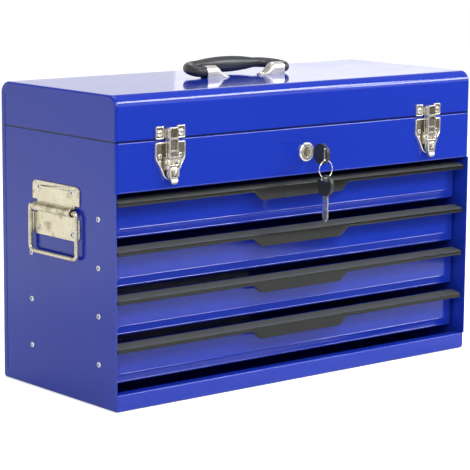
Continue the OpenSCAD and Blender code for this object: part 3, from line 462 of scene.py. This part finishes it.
def drawer_pull(n):
    """A moulded pull along the drawer's top edge: a slope, a rounded nose and a lip with a deeper middle."""
    lo, hi = (v * 1000 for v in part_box(f"drawer_trim_{n}"))
    z1, back, nose = hi.z, hi.y, lo.y
    nose_z, lip, t, r, r2 = z1 - 2.6, z1 - 7.9, 2.2, 1.2, 0.8
    slope = math.atan2(2.6, back - nose - r)
    end_x, dip_x = 256.1, 72.6     # half widths of the pull and of the deep middle

    def profile(x):
        deep = step(dip_x - abs(x), 0.0, 15.4)
        low = lip - 9.4 * deep
        set_in = 0.45 * step(dip_x - abs(x), 0.0, 3.0)
        pts = [(back, z1)]
        for k in range(6):
            a = slope + (math.pi / 2 - slope) * k / 5
            pts.append((nose + r - r * math.sin(a), nose_z - r + r * math.cos(a)))
        pts += [(nose + set_in * 0.2, nose_z - r - 0.35), (nose + set_in, nose_z - r - 0.6)]
        for k in range(4):
            a = math.pi / 2 * k / 3
            pts.append((nose + set_in + r2 - r2 * math.cos(a), low + r2 - r2 * math.sin(a)))
        pts += [(nose + t - 0.3, low), (nose + t, low + 0.4), (nose + t, nose_z - t),
                (back - t, z1 - 2 * t), (back - t, lip), (back, lip)]
        return pts

    xs = {round(s * x, 3) for s in (-1, 1) for x in
          [end_x, 255.9, 255.3, 254.3, 200, 140, 90, 30] + [57.0 + 0.8 * k for k in range(22)]}
    form = Form()
    rings = []
    for x in sorted(xs):
        end = end_x - abs(x)
        tuck = 0.9 * (1 - math.sqrt(max(0.0, 1 - (1 - min(end, 0.9) / 0.9) ** 2)))
        rings.append([(x, y + (tuck if y < back - 3 else 0), z - (tuck * 0.6 if z > lip + 3 else 0))
                      for y, z in profile(x)])
    form.rings(rings)
    for low, high in ((-255.2, -253.4), (253.4, 255.2)):
        form.box((low, nose + 1.5, lip + 0.4), (high, back - 0.5, nose_z - 1.2))
    mesh = form.mesh(f"drawer_pull_{n}", 34)
    piece(f"drawer_pull_{n}", mesh, f"drawer_{n}", "black_trim", f"drawer_trim_{n}")


def rim(edge, floor, top, wide):
    """A rounded border of a plate, a given width wide, that drops to its pan."""
    u = edge / wide * 2 - 1
    return floor + (top - floor) * math.sqrt(1 - u * u) if edge < wide else floor


def latch_base(side, o):
    """A tapered pan with a raised rim, the cheeks and the staple."""
    form = Form(o)
    widths = [(243.0, 1.0), (243.25, 3.4), (243.8, 5.0), (245.0, 7.0), (248.0, 9.6), (252.0, 11.4),
              (257.0, 13.8), (262.0, 17.3), (266.0, 19.6), (268.5, 20.2), (281.4, 20.2), (282.7, 19.8),
              (283.6, 18.8), (284.0, 17.6)]

    def base_face(x, z, edge):
        pan = 0.9 + 0.9 * (1 - step(math.hypot((abs(x) - 13.5) / 2.2, (z - 262.0) / 3.0), 0.2, 1.0))
        return max(rim(edge, 0.9, 2.6, 2.0), pan)

    def base_tone(x, z, edge):
        bump = 1 - step(math.hypot((abs(x) - 13.5) / 2.2, (z - 262.0) / 3.0), 0.3, 1.0)
        # tarnish in the pans, with painted shade that deepens beside the claw; less on the raised bumps
        return step(edge, 1.5, 2.1) * (0.62 + 0.38 * step(12.5 - abs(x), 0.0, 2.5)) * (1 - 0.7 * bump)

    rows = rows_between(243.0, 248.0, 0.25) + rows_between(248.4, 283.0, 0.4) + [283.3, 283.6, 283.8, 284.0]
    pressed_plate(form, rows, by_height(widths), base_face, flush, 91, base_tone)
    cheek = [(FRONT_Y, 253.5), (-116.0, 256.0), (-116.6, 258.5), (-116.3, 265.5), (-114.0, 267.6),
             (FRONT_Y, 268.6)]
    for s in (-1, 1):
        form.prism(cheek, across, s * 7.8, s * 9.0)
    form.tube([(-9.6, -112.5, 263.0), (9.6, -112.5, 263.0)], 1.5)
    arch = [(0, -108.5 - 8.4 * math.sin(a) - 1.6 * step(a, 0.2, 1.2), 252.6 + 2.5 * math.cos(a))
            for a in (math.pi * i / 16 for i in range(17))]
    form.tube(arch, 1.25, 14)
    piece(f"latch_base_{side}_pressed", form.mesh("latch_base"), "cabinet", "nickel", f"latch_base_{side}")


def latch_strike(side, o):
    """Two rimmed ears and the hook between them."""
    form = Form(o)
    widths = [(286.9, 4.2), (287.4, 5.0), (288.2, 5.4), (299.2, 5.4), (300.1, 5.0), (300.7, 4.0)]
    rows = [286.9, 287.1, 287.3] + rows_between(287.6, 300.0, 0.35) + [300.2, 300.4, 300.55, 300.7]
    for s in (-1, 1):
        form.o = (o[0] + s * 14.2, 0.0, 0.0)
        pressed_plate(form, rows, by_height(widths), lambda x, z, e: rim(e, 1.0, 2.5, 1.7), flush, 37,
                      lambda x, z, e: 0.6 * step(e, 1.2, 1.8))
    form.o = o
    form.box((-9.2, -109.3, 288.2), (9.2, FRONT_Y, 297.4))
    hook = [(-108.6, 289.0), (-110.2, 290.4), (-111.6, 293.2), (-112.4, 295.8), (-113.1, 296.4),
            (-113.2, 295.0), (-112.6, 291.6), (-111.4, 288.8), (-109.6, 287.4), (-108.6, 287.4)]
    form.prism(hook, across, -4.2, 4.2)
    piece(f"strike_{side}_pressed", form.mesh("strike"), "lid", "nickel", f"strike_{side}")


def latch_claw(side, o):
    """A channel with a raised border, a rib on the seam, a window, a section and a flare."""
    form = Form(o)

    def frame_of(x, z):
        """1 on the border and bars of the claw, 0 in its sunk fields."""
        return max(1 - step(6.0 - abs(x), 1.1, 1.7), 1 - step(299.4 - z, 1.0, 1.6),
                   step(1.9 - abs(z - 286.8), 0.0, 0.6), step(1.0 - abs(z - 274.0), 0.0, 0.5),
                   step(2.4 - abs(z - 266.3), 0.0, 0.7), step(260.0 - z, 0.0, 0.6))

    def slot_of(x, z):
        return step(2.6 - abs(x - 1.6), 0.0, 0.3) * step(0.55 - abs(z - 285.2), 0.0, 0.25)

    def claw_face(x, z, edge):
        u = frame_of(x, z)
        ridge = 0.35 * math.sin(math.pi * min(1.0, max(0.0, (6.0 - abs(x)) / 1.5)))
        face = 7.2 + 1.15 * u + ridge - 1.6 * slot_of(x, z)
        return face - 0.9 * (1 - step(edge, 0.0, 0.6)) - 1.9 * step(264.0 - z, 0.0, 5.0)

    def claw_tone(x, z, edge):
        field = 0.85 - 0.25 * step(284.0 - z, 0.0, 1.0)
        # tarnish in the sunk fields, and a full painted shade in the seam's slot
        return max((1 - step(frame_of(x, z), 0.2, 0.8)) * field, slot_of(x, z))

    widths = [(253.4, 4.6), (260.0, 4.9), (263.0, 6.0), (297.4, 6.0), (298.6, 5.7), (299.2, 5.0),
              (299.4, 4.4)]
    rows = rows_between(253.4, 299.0, 0.3) + [299.2, 299.4]
    deep = by_height([(258.0, 5.4), (268.0, 3.4), (272.0, 1.9), (299.4, 1.9)])
    pressed_plate(form, rows, by_height(widths), claw_face, deep, 49, claw_tone)
    for s in (-1, 1):
        edge = [(s * 5.9, -109.9 - max(0.0, (272.0 - z) * 0.25), z) for z in rows_between(266.0, 297.6, 3.0)]
        form.tube(edge, 0.6, 10)
    form.tube([(-6.0, -114.0, 255.0), (6.0, -114.0, 255.0)], 2.6)
    node = f"latch_claw_{side}"
    piece(f"latch_claw_{side}_pressed", form.mesh("latch_claw"), node, "nickel", node)


def latch_lever(side, o):
    """Two walls from the pivot, and a slotted tongue with a knob and a turned-up tip."""
    form = Form(o)

    def well(x, z):
        return step(3.3 - abs(x), -0.2, 0.3) * step(min(257.0 - z, z - 246.6), -0.2, 0.4)

    def knob(x, z):
        return math.sqrt(max(0.0, 1 - ((x - 0.9) / 2.2) ** 2 - ((z - 251.8) / 4.3) ** 2))

    def lever_face(x, z, edge):
        out = 8.4 + 0.5 * step(258.0 - z, 0.0, 12.0) + 1.0 * step(245.6 - z, 0.0, 5.0)
        lip = 0.8 * (step(edge, 0.0, 0.6) - 1)
        sunk = 3.0 * well(x, z)
        return out + lip - max(0.0, sunk - 4.4 * knob(x, z))

    def lever_tone(x, z, edge):
        # painted shade in the tongue's sunk well, left off the knob
        return well(x, z) * (1 - step(knob(x, z), 0.05, 0.3))

    widths = [(239.0, 0.7), (239.15, 1.6), (239.6, 2.6), (240.4, 3.5), (241.6, 4.2), (243.5, 4.7),
              (250.0, 5.3), (256.0, 6.4), (258.6, 6.7), (259.6, 6.5), (260.0, 6.1)]
    rows = [239.0, 239.15, 239.35] + rows_between(239.6, 259.6, 0.3) + [259.8, 260.0]
    back = by_height([(240.0, 7.2), (243.5, 4.4), (247.0, 2.4), (258.0, 5.4), (260.0, 6.0)])
    pressed_plate(form, rows, by_height(widths), lever_face, back, 49, lever_tone)
    wall = [(-112.4, 247.0), (-115.4, 247.0), (-116.2, 259.0), (-115.4, 263.8), (-114.0, 265.6),
            (-112.4, 266.0), (-110.6, 265.4), (-109.6, 263.6), (-109.8, 261.4), (-111.6, 258.6)]
    for s in (-1, 1):
        form.prism(wall, across, s * 5.9, s * 7.1)
    node = f"latch_lever_{side}"
    piece(f"latch_lever_{side}_pressed", form.mesh("latch_lever"), node, "nickel", node)


def latch(side, k):
    """The four pressed pieces of one draw latch."""
    for make in (latch_base, latch_strike, latch_claw, latch_lever):
        make(side, (k * LATCH_X, 0.0, 0.0))


def handle_bracket(side, k):
    """A pressed loop over the grip's stub that slopes down to a riveted foot."""
    form = Form()
    stations = [57.0, 56.6, 50.0, 44.0] + [43.0 - 0.75 * i for i in range(24)] + \
        [25.0, 24.2, 23.5, 22.9, 22.5, 22.2, 22.05]

    def size(x):
        h = 14.0 - 12.5 * step(43.0 - x, 0.0, 14.5)
        w = 7.0 - 1.0 * step(43.0 - x, 4.0, 15.0)
        if x < 28.0:
            w = math.sqrt(max(0.0, 36.0 - (28.0 - x) ** 2))
        return w, h

    def section(x, t):
        w, h = size(x)
        w, h = max(w - t, 0.05), max(h - t, 0.2)
        wall = 0.42
        pts = [(-w, 0.0), (-w, h * wall * 0.5), (-w, h * wall)]
        for i in range(1, 16):
            a = math.pi * i / 16
            pts.append((-w * math.cos(a), h * (wall + (1 - wall) * math.sin(a))))
        pts += [(w, h * wall), (w, h * wall * 0.5), (w, 0.0)]
        return [(k * x, y, LID_TOP + z) for y, z in pts]

    outer = [section(x, 0.0) for x in stations]
    inner = [section(x, 1.3) for x in stations if x > 31.0]
    n = len(outer[0])
    form.rings(outer, closed=False, caps=(False, False))
    form.rings(inner, closed=False, caps=(False, False))
    verts = outer[0] + inner[0]
    form.add(verts, [(j, j + 1, n + j + 1, n + j) for j in range(n - 1)])
    mesh = form.mesh("handle_bracket", 60)
    piece(f"handle_bracket_{side}_pressed", mesh, "lid", "nickel", f"handle_bracket_{side}", finish=STREAKED)


def pop_rivet(form, at, out, r=3.2):
    """A pop rivet's domed head with the hollow of its pulled pin, darkened by painted shade. out is the way
    it faces.
    """
    at, out = Vector(at), Vector(out)
    a = out.orthogonal().normalized()
    b = out.cross(a)
    # radius as a share of r, height in mm, and how much painted shade
    profile = [(1.0, -0.2, 0), (1.0, 0.35, 0), (0.94, 0.75, 0), (0.8, 1.02, 0), (0.62, 1.1, 0),
               (0.52, 1.0, 0.2), (0.47, 0.6, 1), (0.45, 0.2, 1), (0.24, 0.2, 1), (0.2, 0.5, 0.6),
               (0.02, 0.55, 0.4)]
    turns = [2 * math.pi * i / 28 for i in range(28)]
    form.rings([[tuple(at + out * h + (a * math.cos(t) + b * math.sin(t)) * r * q) for t in turns]
                for q, h, _ in profile], hollow=[tone for _, _, tone in profile for _ in turns])


def rivets():
    """The pop rivets of the drawer rails, and those of the side plates and the latch bases."""
    form = Form()
    for n in range(1, 5):
        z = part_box(f"drawer_front_{n}")[0].z * 1000 + RAIL_RIVET_RISE
        for _, k in SIDES:
            for y in RAIL_RIVET_YS:
                pop_rivet(form, (k * SIDE_X, y, z), (k, 0, 0), 3.0)
    piece("rail_rivets_pulled", form.mesh("rail_rivets"), "cabinet", "rivet_alloy", "rail_rivets")
    form = Form()
    for _, k in SIDES:
        for y in (-PLATE_RIVET[0], PLATE_RIVET[0]):
            for z in (-PLATE_RIVET[1], PLATE_RIVET[1]):
                pop_rivet(form, (k * PLATE_X, y, PLATE_Z + z), (k, 0, 0), 3.1)
        for s in (-1, 1):
            pop_rivet(form, (k * LATCH_X + s * LATCH_RIVET[0], -108.9, LATCH_RIVET[1]), (0, -1, 0), 2.4)
    piece("plate_rivets_pulled", form.mesh("plate_rivets"), "cabinet", "rivet_alloy", "plate_rivets")


def side_bail(side, k):
    """A bent wire: knees above the barrel, straight legs and a flat bottom."""
    form = Form((k * BAIL_X, 0.0, BAIL_Z))
    leg, drop, turn = 43.5, 49.5, 6.0
    half = [(0, 14.0, 0.0), (0, leg - 8.5, 0.0)]
    half += [(0, leg - 5.0 + 5.0 * math.sin(t), 1.2 * math.sin(2 * t) - 5.0 + 5.0 * math.cos(t))
             for t in (math.pi / 2 * i / 8 for i in range(9))]
    half += [(0, leg, -12.0), (0, leg, -drop + turn + 6)]
    half += [(0, leg - turn + turn * math.cos(t), -drop + turn - turn * math.sin(t))
             for t in (math.pi / 2 * i / 8 for i in range(9))]
    path = half + [(x, -y, z) for x, y, z in reversed(half)]
    form.tube(path, lambda i: 2.2 + 0.55 * max(0.0, 1 - abs(min(i, len(path) - 1 - i) - 5) / 4.0), 18)
    node = f"side_bail_{side}"
    piece(f"side_bail_{side}_bent", form.mesh("side_bail"), node, "yellow_zinc", node)


for n in range(1, 5):
    drawer_front(n)
    drawer_pull(n)
rivets()
for side, k in SIDES:
    latch(side, k)
    handle_bracket(side, k)
    side_bail(side, k)


# ---------------------------------------------------------------- stage
def camera():
    """The camera that was fitted to the photograph."""
    focal_px, image_px, sensor = 2067.46, 470, 36.0
    place = Vector((-1.5132, -1.8184, 0.5458))
    yaw, pitch, roll = (math.radians(a) for a in (39.566, 9.494, 0.3687))
    fwd = Vector((math.sin(yaw) * math.cos(pitch), math.cos(yaw) * math.cos(pitch), -math.sin(pitch)))
    right = Vector((math.cos(yaw), -math.sin(yaw), 0))
    up = right.cross(fwd)
    r = right * math.cos(roll) + up * math.sin(roll)
    u = up * math.cos(roll) - right * math.sin(roll)
    data = bpy.data.cameras.new("camera")
    data.sensor_width = sensor
    data.lens = sensor * focal_px / image_px
    data.clip_end = 100
    cam = bpy.data.objects.new("camera", data)
    bpy.context.scene.collection.objects.link(cam)
    rot = Matrix((r, u, -fwd)).transposed().to_4x4()
    cam.matrix_world = Matrix.Translation(place) @ rot
    bpy.context.scene.camera = cam


def lamp(name, place, aim, size, power, size_y=None):
    """An area lamp in watts, square unless size_y is given."""
    data = bpy.data.lights.new(name, "AREA")
    data.energy = power
    data.size = size
    if size_y:
        data.shape = "RECTANGLE"
        data.size_y = size_y
    obj = bpy.data.objects.new(name, data)
    obj.location = place
    obj.rotation_euler = (Vector(aim) - Vector(place)).to_track_quat("-Z", "Y").to_euler()
    bpy.context.scene.collection.objects.link(obj)


def maths(tree, op, a, b):
    m = tree.nodes.new("ShaderNodeMath")
    m.operation = op
    for i, v in enumerate((a, b)):
        if hasattr(v, "is_output"):
            tree.links.new(v, m.inputs[i])
        else:
            m.inputs[i].default_value = v
    return m.outputs[0]


def remap(tree, src, a, b, lo, hi):
    m = tree.nodes.new("ShaderNodeMapRange")
    m.interpolation_type = "SMOOTHSTEP"
    for k, v in (("From Min", a), ("From Max", b), ("To Min", lo), ("To Max", hi)):
        m.inputs[k].default_value = v
    tree.links.new(src, m.inputs["Value"])
    return m.outputs["Result"]


def stage():
    """A pale floor that takes the shadow, and a world that is white to the camera."""
    # the floor's near right corner is cut off, so the fronts reflect a dark room there
    outline = [(-3, -1.12), (0.35, -1.12), (0.75, -0.3), (3, 0.2), (3, 4), (-3, 4)]
    mesh = bpy.data.meshes.new("floor")
    mesh.from_pydata([(x, y, 0) for x, y in outline], [], [tuple(range(len(outline)))])
    floor = bpy.data.objects.new("floor", mesh)
    bpy.context.scene.collection.objects.link(floor)
    g = Graph("floor_white")
    g.set(Base_Color=(0.84, 0.84, 0.85), Roughness=0.8)
    path = g.add("ShaderNodeLightPath")
    seen = maths(g.t, "MAXIMUM", path.outputs["Is Camera Ray"], path.outputs["Is Transmission Ray"])
    seen = maths(g.t, "MULTIPLY", seen, 0.6)
    g.b.inputs["Emission Color"].default_value = (1, 1, 1, 1)
    axes = g.add("ShaderNodeSeparateXYZ")
    g.link(g.place(), axes.inputs[0])
    glow = remap(g.t, axes.outputs["Y"], 0.1, 0.9, 0.05, 0.5)
    g.link(maths(g.t, "MAXIMUM", seen, maths(g.t, "MULTIPLY", path.outputs["Is Glossy Ray"], glow)),
           g.b.inputs["Emission Strength"])
    floor.data.materials.append(g.mat)

    world = bpy.data.worlds.new("world")
    bpy.context.scene.world = world
    world.use_nodes = True
    t = world.node_tree
    back = t.nodes["Background"]
    back.inputs["Color"].default_value = (1, 1, 1, 1)
    path = t.nodes.new("ShaderNodeLightPath")
    coord = t.nodes.new("ShaderNodeTexCoord")
    axes = t.nodes.new("ShaderNodeSeparateXYZ")
    t.links.new(coord.outputs["Generated"], axes.inputs[0])
    # a white sweep behind the object, and a dim room in front of it with a paler wall
    behind = remap(t, axes.outputs["Y"], -0.15, 0.25, 0.0, 1.0)
    low = remap(t, axes.outputs["Z"], 0.30, 0.55, 1.0, 0.25)
    wall = remap(t, axes.outputs["Z"], 0.02, 0.16, 0.12, 1.3)
    front = maths(t, "MULTIPLY", maths(t, "SUBTRACT", 1.0, behind), maths(t, "MULTIPLY", wall, low))
    mirror = maths(t, "ADD", front, maths(t, "MULTIPLY", behind, low))
    seen = maths(t, "MAXIMUM", path.outputs["Is Glossy Ray"], path.outputs["Is Transmission Ray"])
    mix = t.nodes.new("ShaderNodeMix")
    t.links.new(seen, mix.inputs[0])
    mix.inputs[2].default_value = 0.5
    t.links.new(mirror, mix.inputs[3])
    t.links.new(maths(t, "MAXIMUM", mix.outputs[0], path.outputs["Is Camera Ray"]), back.inputs["Strength"])


bpy.context.scene.view_settings.view_transform = "Standard"
camera()
stage()
# key lights the fronts, strip draws the lines on their beads, rim those at the right end, and top and
# sweep tone the lid
lamp("key", (-0.5, -1.7, 1.6), (0, 0, 0.15), 0.9, 23)
lamp("strip", (1.25, -1.35, 1.65), (0, 0, 0.25), 1.0, 20, 0.45)
lamp("rim", (1.96, -1.33, 1.32), (0.2, 0, 0.2), 0.8, 10, 0.35)
lamp("top", (0.2, 0.3, 2.3), (0, 0, 0.15), 1.4, 14)
lamp("sweep", (2.3, 1.7, 0.9), (0, 0, 0.3), 1.8, 1.8, 0.7)
